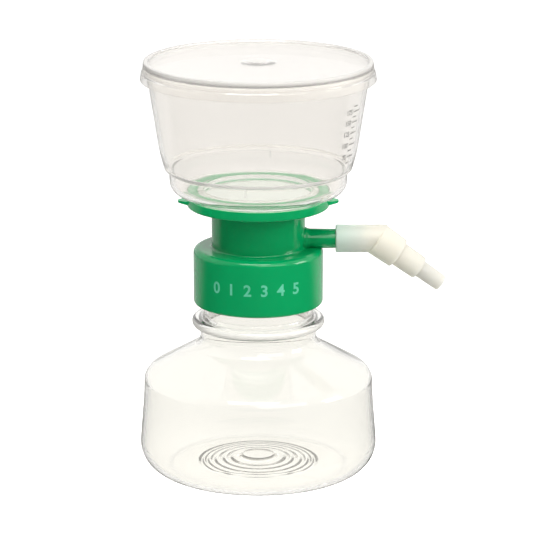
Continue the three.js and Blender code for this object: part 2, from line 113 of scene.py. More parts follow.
class BottleSizes(PropertyGroup):
    body_radius: length("Body radius", "Where the heel meets the side", radius_of(BOTTLE_LOW, BOTTLE_HIGH))
    waist_radius: length("Side radius", "Of the side just under the shoulder", 47.8)
    heel_radius: length("Heel radius", "Rounding between the side and the foot", 11.5)
    shoulder_z: length("Shoulder height", "Where the side line would meet the slope", 41.38)
    shoulder_slope: angle("Shoulder slope", "Rise of the shoulder from level", 29.8)
    shoulder_rounding: length("Shoulder rounding", "Radius of the shoulder's corner and of the neck's fillet", 4.8)
    neck_radius: length("Neck radius", "Under the support ring", 24.3)
    ring_z: length("Ring height", "Middle of the support ring", 63.92)
    ring_radius: length("Ring radius", "Outside of the support ring", 27.7)
    ring_thickness: length("Ring thickness", "Of the support ring", 3.8)
    finish_radius: length("Finish radius", "Root of the thread", 22.9)
    bore_radius: length("Bore radius", "Inside of the mouth", 21.2)
    wall: length("Wall", "Thickness of the body's wall", 1.6)
    push_up: length("Push-up", "Height of the middle of the base", 3.6)
    hub_radius: length("Hub radius", "Round hub in the middle of the base", 7.6)
    hub_step: length("Hub step", "Height of the hub's edge", 0.9)
    ripple_depth: length("Ripple depth", "Of the rings moulded in the base", 0.5)


class ThreadSizes(PropertyGroup):
    pitch: length("Pitch", "Rise of the thread in a turn", 4.0)
    turns: amount("Turns", "Turns of each thread", 2.0, min=0.5, max=4.0)
    end_below_lip: length("End below lip", "Middle of the bottle's thread where it ends", 3.5)
    height: length("Height", "How far the bottle's thread stands out", 1.3)
    root_width: length("Root width", "Width of the bottle's thread at its root", 2.3)
    crest_width: length("Crest width", "Width of the bottle's thread at its crest", 1.0)


class BaseSizes(PropertyGroup):
    collar_radius: length("Collar radius", "Outside of the threaded collar", 27.0)
    thread_root: length("Thread root", "Radius of the root of the collar's thread", 24.9)
    collar_top: length("Collar top", "Height of the collar's top face", 95.67)
    ceiling: length("Ceiling", "Height of the collar's ceiling", 93.37)
    collar_rounding: length("Collar rounding", "Of the collar's top edge", 2.5)
    neck_radius: length("Neck radius", "Outside of the neck tube", 19.4)
    neck_bore: length("Neck bore", "Inside of the neck tube", 17.5)
    flange_underside: length("Flange underside", "Height of the flange's lower face", 113.27)
    flange_radius: length("Flange radius", "Outside of the flange", radius_of(BASE_LOW, BASE_HIGH))
    recess_radius: length("Recess radius", "Of the seat for the filter stack", 25.3)
    recess_floor: length("Recess floor", "Height of the seat for the filter stack", 114.87)
    spout_radius: length("Spout radius", "Outside of the drip spout", 4.5)
    spout_bore: length("Spout bore", "Inside of the drip spout", 2.8)
    spout_end: length("Spout end", "Height of the drip spout's end", 85.97)
    arm_radius: length("Arm radius", "Of the side arm at its tip", 3.9)
    arm_bore: length("Arm bore", "Inside of the side arm", 2.7)
    ear_thickness: length("Ear thickness", "Of the two ears on the flange", 1.5)


class AdapterSizes(PropertyGroup):
    socket_radius: length("Socket radius", "Outside of the socket on the side arm", 5.8)
    bend_past_arm: length("Bend past arm", "From the arm's tip to the bend", 6.0)
    bend: angle("Bend", "How far the angled end points down", 35.5)
    passage: length("Passage", "Radius of the passage through the angled end", 2.2)


class FunnelSizes(PropertyGroup):
    opening_radius: length("Opening radius", "Of the opening over the membrane", 22.5)
    floor_underside: length("Floor underside", "Height of the floor's lower face", 118.87)
    floor: length("Floor", "Thickness of the floor", 1.7)
    wall: length("Wall", "Thickness of the wall", 1.6)
    foot_radius: length("Foot radius", "Outside of the lower wall", 36.5)
    foot_rounding: length("Foot rounding", "Between the floor and the lower wall", 5.1)
    ledge_z: length("Ledge height", "Where the wall steps out", 128.27)
    ledge_radius: length("Ledge radius", "Outside of the wall over the step", 38.8)
    mouth_radius: length("Mouth radius", "Outside of the wall under the rim", 45.9)
    rim_height: length("Rim height", "Of the band round the mouth", 2.2)
    rib_turn: angle("Rib turn", "From the front to the first of the two ribs under the ledge", -7.9)
    scale_turn: angle("Scale turn", "From the front to the graduation marks", 61.0)


class LidSizes(PropertyGroup):
    plate: length("Plate", "Thickness of the plate", 1.4)
    raised_rim: length("Raised rim", "Height of the ring round the top face", 0.8)
    raised_rim_width: length("Raised rim width", "Width of the ring round the top face", 1.7)
    wall: length("Wall", "Thickness of the skirt", 0.9)
    boss_radius: length("Boss radius", "Round boss in the middle of the top", 3.9)
    boss_height: length("Boss height", "Height of the round boss", 0.5)


class Finishes(PropertyGroup):
    clear: colour("Clear plastic", "Tint of the bottle's clear plastic", "FAF9F5")
    clear_funnel: colour("Clear funnel plastic", "Tint of the funnel's and lid's clear plastic", "F2F0ED")
    green: colour("Green plastic", "Of the filter base", "019557")
    ink: colour("Collar ink", "Of the numbers printed on the collar", "6FD0B4")
    milky: colour("Milky plastic", "Of the hose adapter", "D8D5CA")
    # Pale green painted on the adapter's socket: a painted show-through of the green arm inside.
    shown_through: colour("Arm shown through", "The green arm seen through the adapter's socket", "C3D8C8")
    # Greyer than the white sheet: painted shade for the light that the lid and funnel, which cast no shadow, would
    # hold back.
    membrane: colour("Membrane", "Of the filter membrane", "CFD4D0")
    grid: colour("Support grid", "Of the plate under the membrane", "E9E9E6")
    silicone: colour("Silicone", "Of the mouth gasket", "DCDCD6")
    cotton: colour("Cotton", "Of the plug in the side arm", "F2F1EC")
    marks: colour("Graduation ink", "Of the funnel's graduation marks", "4E4E4A")


class StageSettings(PropertyGroup):
    camera_distance: length("Camera distance", "In front of the bottle's axis", 1207.0)
    camera_height: length("Camera height", "Over the floor", 411.0)
    camera_pitch: angle("Camera pitch", "Below level", 15.03)
    camera_lens: amount("Lens", "Focal length in millimetres", 202.63)
    camera_shift: amount("Shift", "Sideways lens shift", 0.0154)
    floor_colour: colour("Floor", "Of the floor", "EDEDEC")
    sky_level: amount("Sky level", "Soft light from all round", 0.22)
    dark_side: amount("Dark side", "What gloss shows of the camera's side", 0.02)
    dark_side_through: amount("Dark side through", "What clear plastic shows of the camera's side", 0.85)
    floor_glow: amount("Floor glow", "Added to the floor where it is seen", 0.75)
    floor_in_gloss: amount("Floor in gloss", "How much of the floor a glossy surface shows", 0.06)
    floor_through: amount("Floor through", "How much of the floor's shading clear plastic shows", 0.12)
    floor_glow_through: amount("Floor glow through", "Added to the floor seen through clear plastic", 0.99)


class UnitSettings(PropertyGroup):
    facets_round: IntProperty(name="Facets round", description="Steps round each large piece", default=144, min=24)
    facets_small: IntProperty(name="Facets small", description="Steps round each small piece", default=64, min=16)
    marking: StringProperty(
        name="Collar numbers", description="Plain numbers round the collar", default="0  1  2  3  4  5"
    )
    bottle: PointerProperty(type=BottleSizes)
    thread: PointerProperty(type=ThreadSizes)
    base: PointerProperty(type=BaseSizes)
    adapter: PointerProperty(type=AdapterSizes)
    funnel: PointerProperty(type=FunnelSizes)
    lid: PointerProperty(type=LidSizes)
    finish: PointerProperty(type=Finishes)
    stage: PointerProperty(type=StageSettings)


# ------------------------------------------------------------------------------- modelling tools

MM = 0.001
WELD = 1e-6
FULL_TURN = 2 * math.pi
ACROSS_PLAN = Vector((0, 1, 0))


def start_fresh():
    if bpy.context.mode != "OBJECT":
        bpy.ops.object.mode_set(mode="OBJECT")
    bpy.ops.object.select_all(action="DESELECT")


def edit_all():
    """Goes into edit mode with everything selected."""
    bpy.ops.object.mode_set(mode="EDIT")
    bpy.ops.mesh.select_mode(type="VERT")
    bpy.ops.mesh.select_all(action="SELECT")


def finished():
    """Leaves edit mode, and gives back the object."""
    bpy.ops.object.mode_set(mode="OBJECT")
    return bpy.context.active_object


def apply_place():
    bpy.ops.object.transform_apply(location=True, rotation=True, scale=True)


def only(piece):
    start_fresh()
    piece.select_set(True)
    bpy.context.view_layer.objects.active = piece
    return piece


def select_points(test):
    """In edit mode, selects just the points that pass a test on their place."""
    bpy.ops.mesh.select_mode(type="VERT")
    bpy.ops.mesh.select_all(action="DESELECT")
    mesh = bpy.context.edit_object.data
    shape = bmesh.from_edit_mesh(mesh)
    for point in shape.verts:
        point.select = bool(test(point.co))
    shape.select_flush_mode()
    bmesh.update_edit_mesh(mesh)


def draw_outline(name, outline, origin, across, along, closed):
    """Extrudes one point through (across, along[, rounding[, steps]]) places, then rounds the corners."""
    places = [origin + across * p[0] + along * p[1] for p in outline]
    start_fresh()
    bpy.ops.mesh.primitive_plane_add(size=MM, location=(0, 0, 0))
    piece = bpy.context.active_object
    piece.name = name
    piece.data.name = name
    edit_all()
    bpy.ops.mesh.merge(type="CENTER")
    bpy.ops.transform.translate(value=places[0])
    for before, after in zip(places, places[1:]):
        bpy.ops.mesh.extrude_region_move(TRANSFORM_OT_translate={"value": after - before})
    if closed:
        select_points(lambda co: min((co - places[0]).length, (co - places[-1]).length) < WELD)
        bpy.ops.mesh.edge_face_add()
    rounded = [((*p[2:], 3)[:2], place) for p, place in zip(outline, places) if len(p) > 2]
    for rounding in sorted({key for key, _ in rounded}):
        corners = [place for key, place in rounded if key == rounding]
        select_points(lambda co: any((co - corner).length < 2 * WELD for corner in corners))
        bpy.ops.mesh.bevel(affect="VERTICES", offset=rounding[0], segments=rounding[1], profile=0.5)
    return piece


def tidy_shell():
    """In edit mode, welds the seam and the poles and turns every face outwards."""
    bpy.ops.mesh.select_all(action="SELECT")
    bpy.ops.mesh.remove_doubles(threshold=WELD)
    bpy.ops.mesh.normals_make_consistent(inside=False)


def pulled_up(height):
    """In edit mode, fills a closed outline and pulls it up."""
    bpy.ops.mesh.select_all(action="SELECT")
    bpy.ops.mesh.edge_face_add()
    bpy.ops.mesh.extrude_region_move(TRANSFORM_OT_translate={"value": (0, 0, height)})
    tidy_shell()


def turned(name, outline, steps, origin=AXIS_FOOT, along=UP, across=RIGHT):
    """A closed piece of revolution: an outline drawn from the axis to the axis, or closed on itself."""
    on_axis = abs(outline[0][0]) < WELD
    draw_outline(name, outline, origin, across, along, closed=not on_axis)
    bpy.ops.mesh.select_all(action="SELECT")
    bpy.ops.mesh.spin(steps=steps, angle=FULL_TURN, use_auto_merge=True, center=origin, axis=along)
    tidy_shell()
    return finished()


def turned_on_arm(name, outline, steps):
    """A piece of revolution about the side arm."""
    return turned(name, outline, steps, ARM_CENTRE, RIGHT, UP)


def rod(radius, start, end):
    """Outline of a plain round rod, for cutting a bore."""
    return [(0, start), (radius, start), (radius, end), (0, end)]


def combine(piece, tool, operation):
    """Joins a tool to a piece, or cuts the piece with it, and removes the tool."""
    only(piece)
    change = piece.modifiers.new("combine", "BOOLEAN")
    change.operation = operation
    change.solver = "EXACT"
    change.object = tool
    bpy.ops.object.modifier_apply(modifier=change.name)
    bpy.data.objects.remove(tool, do_unlink=True)
    edit_all()
    bpy.ops.mesh.remove_doubles(threshold=WELD)
    bpy.ops.mesh.dissolve_degenerate(threshold=WELD)
    return finished()


def joined(pieces):
    start_fresh()
    for piece in pieces:
        piece.select_set(True)
    bpy.context.view_layer.objects.active = pieces[0]
    bpy.ops.object.join()
    return pieces[0]


def copies_round(piece, count):
    """The piece and its copies, evenly round the bottle's axis, as one object."""
    ring = [piece]
    for i in range(1, count):
        only(piece)
        bpy.ops.object.duplicate()
        bpy.ops.transform.rotate(value=FULL_TURN * i / count, orient_axis="Z", center_override=AXIS_FOOT)
        apply_place()
        ring.append(bpy.context.active_object)
    return joined(ring)


def thread_ridge(sizes, root, crest, root_width, crest_width, start_z):
    """A ridge wound about the bottle's axis, with its foot sunk in the wall and its ends faded out."""
    steps_per_turn, fade_steps, sunk_share = 72, 5, 0.35
    sunk = root - (crest - root) * sunk_share
    sunk_half = (root_width + (root_width - crest_width) * sunk_share) / 2
    half = crest_width / 2
    outline = [(sunk, -sunk_half), (crest, -half), (crest, half), (sunk, sunk_half)]
    origin = AXIS_FOOT + UP * start_z
    ridge = draw_outline("thread_ridge", outline, origin, RIGHT, UP, closed=True)
    finished()
    bpy.context.scene.cursor.location = AXIS_FOOT
    bpy.ops.object.origin_set(type="ORIGIN_CURSOR")
    wind = ridge.modifiers.new("wind", "SCREW")
    wind.axis = "Z"
    wind.angle = FULL_TURN * sizes.turns
    wind.screw_offset = sizes.pitch * sizes.turns
    wind.steps = wind.render_steps = round(steps_per_turn * sizes.turns)
    wind.use_merge_vertices = False
    bpy.ops.object.modifier_apply(modifier=wind.name)
    apply_place()
    edit_all()
    bpy.ops.mesh.remove_doubles(threshold=WELD)
    bpy.ops.mesh.fill_holes(sides=4)
    bpy.ops.mesh.normals_make_consistent(inside=False)
    for i in range(fade_steps):
        faded = root + (crest - root) * (0.12 + 0.88 * i / fade_steps)
        turned_by = FULL_TURN * i / steps_per_turn
        for turn in (turned_by, FULL_TURN * sizes.turns - turned_by):
            z = start_z + sizes.pitch * turn / FULL_TURN
            foot = AXIS_FOOT + UP * z + Vector((math.cos(turn), math.sin(turn), 0)) * crest
            select_points(lambda co: (co - foot).length < half * 1.2)
            bpy.ops.transform.resize(value=(faded / crest, faded / crest, 1), center_override=(AXIS_X, 0, z))
    return finished()


def smooth(piece, degrees=38):
    """Smooth shading in which flat and straight faces keep their own direction beside a rounded edge."""
    only(piece)
    bpy.ops.object.shade_smooth_by_angle(angle=math.radians(degrees))
    weighted = piece.modifiers.new("weighted", "WEIGHTED_NORMAL")
    weighted.mode = "FACE_AREA"
    weighted.weight = 80
    weighted.keep_sharp = True
    bpy.ops.object.modifier_apply(modifier=weighted.name)
    return piece


def hand_over(piece, material, body, node, slot):
    """Gives a finished piece its material and its place in the frame. Lamps shine through clear ones."""
    piece.data.materials.clear()
    piece.data.materials.append(material)
    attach(piece, body)
    if node:
        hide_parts(node)
    piece.visible_shadow = slot not in ("clear_bottle", "clear_funnel")


# ------------------------------------------------------------------------------------- materials


CLEAR_IOR = 1.49


class Nodes:
    """Short hand for the nodes of a material or of the world. A value may be another node's output."""

    def __init__(self, owner):
        owner.use_nodes = True
        self.owner = owner
        self.tree = owner.node_tree
        self.shader = self.tree.nodes.get("Principled BSDF")

    def feed(self, socket, value):
        if isinstance(value, bpy.types.NodeSocket):
            self.tree.links.new(value, socket)
        else:
            socket.default_value = value

    def add(self, kind, values=(), **settings):
        """A new node. Its values are given in order, or by the names of its inputs."""
        made = self.tree.nodes.new("ShaderNode" + kind)
        for key, value in settings.items():
            setattr(made, key, value)
        for key, value in values.items() if isinstance(values, dict) else enumerate(values):
            self.feed(made.inputs[key], value)
        return made

    def set(self, **values):
        """Values of the main shader, with its inputs' names written with underscores."""
        for key, value in values.items():
            self.feed(self.shader.inputs[key.replace("_", " ")], value)

    def place(self):
        return self.add("TexCoord").outputs["Object"]

    def along(self, axis):
        return self.add("SeparateXYZ", [self.place()]).outputs[axis]

    def math(self, operation, *values, clamp=False):
        return self.add("Math", values, operation=operation, use_clamp=clamp).outputs[0]

    def vector_math(self, operation, *values):
        return self.add("VectorMath", values, operation=operation).outputs

    def noise(self, scale, detail=3.0, roughness=0.5, stretch=None):
        where = self.place()
        if stretch:
            where = self.add("Mapping", {"Scale": stretch, "Vector": where}).outputs["Vector"]
        values = {"Scale": scale, "Detail": detail, "Roughness": roughness, "Vector": where}
        return self.add("TexNoise", values).outputs["Fac"]

    def between(self, value, low, high, start=0.0, end=1.0, eased=False):
        """Low to high as the value goes from start to end."""
        values = {"Value": value, "From Min": start, "From Max": end, "To Min": low, "To Max": high}
        kind = "SMOOTHSTEP" if eased else "LINEAR"
        return self.add("MapRange", values, interpolation_type=kind).outputs["Result"]

    def blend(self, amount, first, second):
        mix = self.add("Mix", {"Factor": amount}, data_type="RGBA")
        colours = [socket for socket in mix.inputs if socket.type == "RGBA"]
        for socket, source in zip(colours, (first, second)):
            self.feed(socket, source if isinstance(source, bpy.types.NodeSocket) else (*source, 1))
        return [socket for socket in mix.outputs if socket.type == "RGBA"][0]

    def bump(self, height, distance, strength=1.0):
        relief = self.add("Bump", {"Strength": strength, "Distance": distance, "Height": height})
        self.set(Normal=relief.outputs["Normal"])


def new_material(name):
    return Nodes(bpy.data.materials.new(name))


def shade(colour_value, factor):
    return [min(1.0, c * factor) for c in colour_value]


def frosting(nodes, rings):
    """Frost that stands in for the bright and grey lines light draws at a few round edges of clear plastic:
    painted highlight and painted shade. Most at each edge, given as (radius, height, reach, amount), and none away
    from them.
    """
    from_axis = nodes.vector_math("MULTIPLY_ADD", nodes.place(), (1, 1, 0), (-AXIS_X, 0, 0))
    radius = nodes.vector_math("LENGTH", from_axis["Vector"])["Value"]
    section = nodes.add("CombineXYZ", [radius, nodes.along("Z")]).outputs["Vector"]
    most = None
    for ring_radius, height, reach, most_here in rings:
        away = nodes.vector_math("DISTANCE", section, (ring_radius, height, 0))["Value"]
        near = nodes.between(away, 0.0, most_here, start=reach, end=reach * 0.4, eased=True)
        most = near if most is None else nodes.math("MAXIMUM", most, near)
    return most


def clear_plastic(name, tint, clarity, haze, wave, rings):
    """Clear moulded plastic: faint flow waves in it, faint handling marks in its gloss, and frosted, greyer edges
    that stand in for the light lines there, as painted highlight and painted shade.
    """
    nodes = new_material(name)
    painted_line_amount = frosting(nodes, rings)
    flow = nodes.noise(28, 2.0, 0.45, stretch=(1, 1, 0.45))
    handling = nodes.noise(900, 3.0, 0.6)
    streaks = nodes.noise(60, 2.0, 0.5, stretch=(1, 1, 0.3))
    clear = nodes.blend(streaks, shade(tint, 0.985), shade(tint, 1.01))
    nodes.set(
        IOR=CLEAR_IOR,
        # Less clear and a greyer tint along the edge lines: painted highlight and painted shade.
        Transmission_Weight=nodes.between(painted_line_amount, clarity, 0.0),
        Roughness=nodes.between(handling, haze * 0.5, haze * 1.6),
        Base_Color=nodes.blend(painted_line_amount, clear, shade(tint, 0.8)),
    )
    nodes.bump(flow, wave)
    return nodes.owner


def green_plastic(finish):
    """Glossy green moulding with a faint flow marble and a fine moulded skin."""
    nodes = new_material("green_plastic")
    marble = nodes.noise(38, 3.0, 0.5, stretch=(1, 1, 0.5))
    nodes.set(
        IOR=1.5,
        Specular_IOR_Level=0.45,
        Base_Color=nodes.blend(marble, shade(finish.green, 0.95), shade(finish.green, 1.05)),
        Roughness=nodes.between(nodes.noise(220, 3.0, 0.6), 0.11, 0.17),
    )
    nodes.bump(nodes.noise(420, 2.0, 0.5), 0.006 * MM, 0.5)
    return nodes.owner


def print_ink(name, ink, under, wear):
    """Thin ink that lets a little of the plastic show through, more where it is worn."""
    nodes = new_material(name)
    patchy = nodes.noise(70, 2.0, 0.5)
    mixed = nodes.blend(nodes.between(patchy, 1 - wear, 1.0), under, ink)
    worn = nodes.between(nodes.noise(700, 4.0, 0.65), 0.0, 0.35)
    nodes.set(IOR=1.45, Roughness=0.4, Base_Color=nodes.blend(worn, mixed, under))
    return nodes.owner


def milky_plastic(finish):
    """Milky soft plastic. The arm inside is painted on faintly, as a pale green on the socket as far as its tip: a
    painted show-through, not light passing the wall.
    """
    nodes = new_material("milky_plastic")
    # Painted show-through of the arm: pale green at the socket, fading out past the arm's tip.
    painted_arm_fade = nodes.between(
        nodes.along("X"), 0.0, 1.0, start=ADAPTER_LOW.x, end=BASE_HIGH.x + 6 * MM, eased=True
    )
    cloud = nodes.noise(130, 3.0, 0.55)
    plain = nodes.blend(cloud, shade(finish.milky, 0.96), shade(finish.milky, 1.03))
    nodes.set(
        IOR=1.5,
        Specular_IOR_Level=0.3,
        Subsurface_Weight=0.85,
        Subsurface_Scale=8 * MM,
        Subsurface_Radius=(1.0, 0.96, 0.86),
        Base_Color=nodes.blend(painted_arm_fade, finish.shown_through, plain),
        Roughness=nodes.between(cloud, 0.32, 0.48),
    )
    nodes.bump(nodes.noise(900, 3.0, 0.6), 0.01 * MM, 0.6)
    return nodes.owner


def fibre(name, tone, scale, depth, roughness):
    """Matte fibrous sheet or wad."""
    nodes = new_material(name)
    web = nodes.noise(scale, 6.0, 0.7)
    broad = nodes.between(nodes.noise(90, 2.0, 0.5), 0.0, 0.25)
    mottled = nodes.blend(web, shade(tone, 0.93), shade(tone, 1.04))
    nodes.set(
        IOR=1.4,
        Specular_IOR_Level=0.15,
        Roughness=roughness,
        Base_Color=nodes.blend(broad, mottled, shade(tone, 0.97)),
    )
    nodes.bump(web, depth, 0.7)
    return nodes.owner


def plain_moulding(name, tone, roughness):
    """Plain opaque moulding with a fine skin and slight mottling."""
    nodes = new_material(name)
    mottle = nodes.noise(150, 3.0, 0.55)
    nodes.set(
        IOR=1.48,
        Specular_IOR_Level=0.4,
        Base_Color=nodes.blend(mottle, shade(tone, 0.95), shade(tone, 1.03)),
        Roughness=nodes.between(nodes.noise(600, 3.0, 0.6), roughness * 0.85, roughness * 1.15),
    )
    nodes.bump(nodes.noise(1200, 3.0, 0.6), 0.01 * MM, 0.6)
    return nodes.owner


# --------------------------------------------------------------------------------------- pieces


def settings():
    return bpy.context.scene.filter_unit


class FILTER_OT_bottle(Operator):
    """Model the clear receiver bottle with its neck thread"""

    bl_idname = "filter_unit.bottle"
    bl_label = "Receiver bottle"

    def execute(self, context):
        unit = settings()
        b, t = unit.bottle, unit.thread
        slope = math.tan(b.shoulder_slope)
        turn = (math.pi / 2 - b.shoulder_slope) / 2
        foot_out = b.body_radius - b.heel_radius
        foot_in = foot_out - 2.6 * MM
        slide = b.shoulder_rounding * math.tan(turn)
        half_ring = b.ring_thickness / 2

        def under(r):
            return (b.push_up - b.hub_step) * (foot_in - r) / (foot_in - b.hub_radius)

        outline = [
            (0, b.push_up), (b.hub_radius - b.hub_step, b.push_up, 0.4 * MM),
            (b.hub_radius + 0.2 * MM, under(b.hub_radius), 0.4 * MM),
        ]
        crests = [12.0 * MM, 15.4 * MM, 18.9 * MM, 21.7 * MM, 23.8 * MM]
        starts = [10.2 * MM] + [(a + c) / 2 for a, c in zip(crests, crests[1:])] + [25.2 * MM]
        for i, crest in enumerate(crests):
            outline.append((starts[i], under(starts[i]), 0.45 * MM))
            outline.append((crest, under(crest) + b.ripple_depth, 0.45 * MM))
        outline += [
            (starts[-1], under(starts[-1]), 0.5 * MM), (foot_in, 0, 0.5 * MM),
            (b.body_radius, 0, b.heel_radius - 0.05 * MM, 12),
            (b.body_radius, b.heel_radius + 0.6 * MM, 0.5 * MM), (49.0 * MM, 19.8 * MM, 2 * MM),
            (48.25 * MM, 28.6 * MM, 2 * MM), (b.waist_radius + 0.1 * MM, 35.7 * MM, 1 * MM),
            (b.waist_radius, b.shoulder_z, slide, 7),
        ]
        neck_foot = b.shoulder_z + (b.waist_radius - b.neck_radius) * slope
        outline += [
            (b.neck_radius, neck_foot, slide, 7), (b.neck_radius, b.ring_z - half_ring, 0.5 * MM),
            (b.ring_radius, b.ring_z - half_ring, half_ring * 0.97, 6),
            (b.ring_radius, b.ring_z + half_ring, half_ring * 0.97, 6),
            (b.neck_radius, b.ring_z + half_ring, 0.4 * MM),
            (b.finish_radius, b.ring_z + half_ring + b.neck_radius - b.finish_radius, 0.5 * MM),
            (b.finish_radius, LIP, 0.45 * MM, 4), (b.bore_radius, LIP, 0.6 * MM, 4),
            (b.bore_radius, b.ring_z, 2 * MM, 4),
            (b.neck_radius - b.wall, b.ring_z - b.ring_thickness, 1.5 * MM, 4),
        ]
        drop = b.wall / math.cos(b.shoulder_slope)
        inner_neck = b.neck_radius - b.wall
        inner_side = b.waist_radius - b.wall
        inner_corner = b.shoulder_z + b.wall * slope - drop
        outline += [
            (inner_neck, b.shoulder_z - drop + (b.waist_radius - inner_neck) * slope, slide * 1.25, 7),
            (inner_side, inner_corner, slide * 0.66, 6), (inner_side + 0.1 * MM, 35.7 * MM, 1 * MM),
            (48.25 * MM - b.wall, 28.6 * MM, 2 * MM), (49.0 * MM - b.wall, 19.8 * MM, 2 * MM),
            (b.body_radius - b.wall, b.heel_radius + 0.6 * MM, 0.5 * MM),
            (b.body_radius - b.wall, b.wall, b.heel_radius - b.wall - 0.05 * MM, 12),
            (foot_in, b.wall, 1.0 * MM), (b.hub_radius, under(b.hub_radius) + b.wall, 0.5 * MM),
            (b.hub_radius - b.hub_step, b.push_up + b.wall, 0.4 * MM), (0, b.push_up + b.wall),
        ]
        piece = turned("receiver_bottle_shell", outline, unit.facets_round)
        start = LIP - t.end_below_lip - t.turns * t.pitch
        crest = b.finish_radius + t.height
        ridge = thread_ridge(t, b.finish_radius, crest, t.root_width, t.crest_width, start)
        combine(piece, ridge, "UNION")
        smooth(piece)
        # Edges where bright and grey light lines are painted in as frost: painted highlight and painted shade.
        rings = [
            (b.ring_radius, b.ring_z, 2.0 * MM, 0.55), (b.neck_radius, b.ring_z + half_ring, 1.0 * MM, 0.3),
            (b.hub_radius, under(b.hub_radius) + b.wall, 1.2 * MM, 0.3),
        ]
        look = clear_plastic("clear_bottle_plastic", unit.finish.clear, 0.97, 0.02, 0.15 * MM, rings)
        hand_over(piece, look, "bottle", "receiver_bottle", "clear_bottle")
        return {"FINISHED"}


class FILTER_OT_gasket(Operator):
    """Model the flat ring that seals the bottle's mouth"""

    bl_idname = "filter_unit.gasket"
    bl_label = "Mouth gasket"

    def execute(self, context):
        unit = settings()
        outer = radius_of(GASKET_LOW, GASKET_HIGH) * MM
        inner = outer - 5.0 * MM
        edge = 0.3 * MM
        outline = [
            (inner, GASKET_LOW.z, edge), (outer, GASKET_LOW.z, edge), (outer, GASKET_HIGH.z, edge),
            (inner, GASKET_HIGH.z, edge),
        ]
        piece = smooth(turned("mouth_gasket_ring", outline, unit.facets_round))
        look = plain_moulding("silicone_rubber", unit.finish.silicone, 0.5)
        hand_over(piece, look, "seal", "mouth_gasket", "silicone")
        return {"FINISHED"}


class FILTER_OT_base(Operator):
    """Model the green filter base: collar, neck tube, flange, ears, drain and side arm"""

    bl_idname = "filter_unit.base"
    bl_label = "Filter base"

    def body(self, unit):
        s = unit.base
        rise = (s.recess_floor - self.drain_mouth) / (s.neck_bore - s.spout_bore)
        wall = 2.0 * MM

        def under(r):
            return s.recess_floor - rise * (s.neck_bore - r) - wall

        return turned(
            "filter_base_moulding",
            [
                (s.spout_bore, s.spout_end, 0.3 * MM), (s.spout_radius, s.spout_end, 0.4 * MM),
                (s.spout_radius, under(s.spout_radius), 1.2 * MM, 4),
                (s.neck_bore, under(s.neck_bore), 0.8 * MM), (s.neck_bore, s.ceiling, 0.4 * MM),
                (s.thread_root, s.ceiling, 0.3 * MM), (s.thread_root, BASE_LOW.z + 0.4 * MM, 0.1 * MM),
                (s.thread_root + 0.4 * MM, BASE_LOW.z, 0.1 * MM), (s.collar_radius, BASE_LOW.z, 1.4 * MM, 6),
                (s.collar_radius, s.collar_top, s.collar_rounding, 9),
                (s.neck_radius, s.collar_top, 0.9 * MM, 5), (s.neck_radius, s.flange_underside, 0.6 * MM, 4),
                (s.flange_radius, s.flange_underside, 0.7 * MM, 4), (s.flange_radius, BASE_HIGH.z, 0.35 * MM),
                (s.recess_radius, BASE_HIGH.z, 0.15 * MM, 2), (s.recess_radius, s.recess_floor, 0.2 * MM, 2),
                (s.neck_bore, s.recess_floor, 0.8 * MM, 4), (s.spout_bore, self.drain_mouth, 1.0 * MM, 4),
            ],
            unit.facets_round,
        )

    def ear(self, unit):
        """One tapered ear, drawn in plan and pulled up to its thickness."""
        s = unit.base
        root_x = s.flange_radius - 3.0 * MM
        tip_x = AXIS_X - BASE_LOW.x
        top = BASE_HIGH.z - 1.6 * MM
        plan = [
            (root_x, -4.0 * MM), (s.flange_radius, -4.0 * MM), (tip_x, -1.3 * MM, 0.7 * MM, 4),
            (tip_x, 1.3 * MM, 0.7 * MM, 4), (s.flange_radius, 4.0 * MM), (root_x, 4.0 * MM),
        ]
        origin = AXIS_FOOT + UP * (top - s.ear_thickness)
        draw_outline("ear", plan, origin, RIGHT, ACROSS_PLAN, closed=True)
        pulled_up(s.ear_thickness)
        tilt_from = AXIS_X + s.flange_radius
        select_points(lambda co: co.x > tilt_from + 0.5 * MM and co.z < top - s.ear_thickness / 2)
        bpy.ops.transform.translate(value=(0, 0, 0.5 * MM))
        bpy.ops.mesh.select_mode(type="EDGE")
        bpy.ops.mesh.select_all(action="SELECT")
        bpy.ops.mesh.bevel(affect="EDGES", offset=0.2 * MM, segments=2, clamp_overlap=True)
        tidy_shell()
        return copies_round(finished(), 2)

    def execute(self, context):
        unit = settings()
        s, t = unit.base, unit.thread
        self.drain_mouth = s.recess_floor - 7.5 * MM
        piece = self.body(unit)
        start = LIP - t.end_below_lip - t.turns * t.pitch - t.pitch / 2 + 0.225 * MM
        crest = unit.bottle.finish_radius + 0.4 * MM
        ridge = thread_ridge(t, s.thread_root, crest, 1.9 * MM, 0.8 * MM, start)
        near = s.neck_radius
        outline = [
            (0, near - MM), (s.arm_radius + 1.15 * MM, near - MM),
            (s.arm_radius + 0.95 * MM, near + 0.2 * MM, 0.3 * MM),
            (s.arm_radius + 0.27 * MM, near + 1.5 * MM, 0.8 * MM, 5), (s.arm_radius, ARM_TIP, 0.35 * MM),
            (0, ARM_TIP),
        ]
        arm = turned_on_arm("arm", outline, unit.facets_small)
        combine(piece, joined([arm, ridge, self.ear(unit)]), "UNION")
        bore = turned_on_arm("arm_bore", rod(s.arm_bore, s.neck_bore - MM, ARM_TIP + MM), unit.facets_small)
        combine(piece, bore, "DIFFERENCE")
        smooth(piece)
        hand_over(piece, green_plastic(unit.finish), "head", "filter_base", "green_plastic")
        return {"FINISHED"}


class FILTER_OT_collar_print(Operator):
    """Print plain numbers round the front of the collar"""

    bl_idname = "filter_unit.collar_print"
    bl_label = "Collar numbers"

    def execute(self, context):
        unit = settings()
        piece = plain_text("collar_numbers", unit.marking, 6.6 * MM, 0.16 * MM)
        wrap_round(piece, unit.base.collar_radius, 83.4 * MM, -1.0 * MM)
        look = print_ink("collar_ink", unit.finish.ink, unit.finish.green, 0.55)
        hand_over(piece, look, "head", None, "green_plastic")
        return {"FINISHED"}


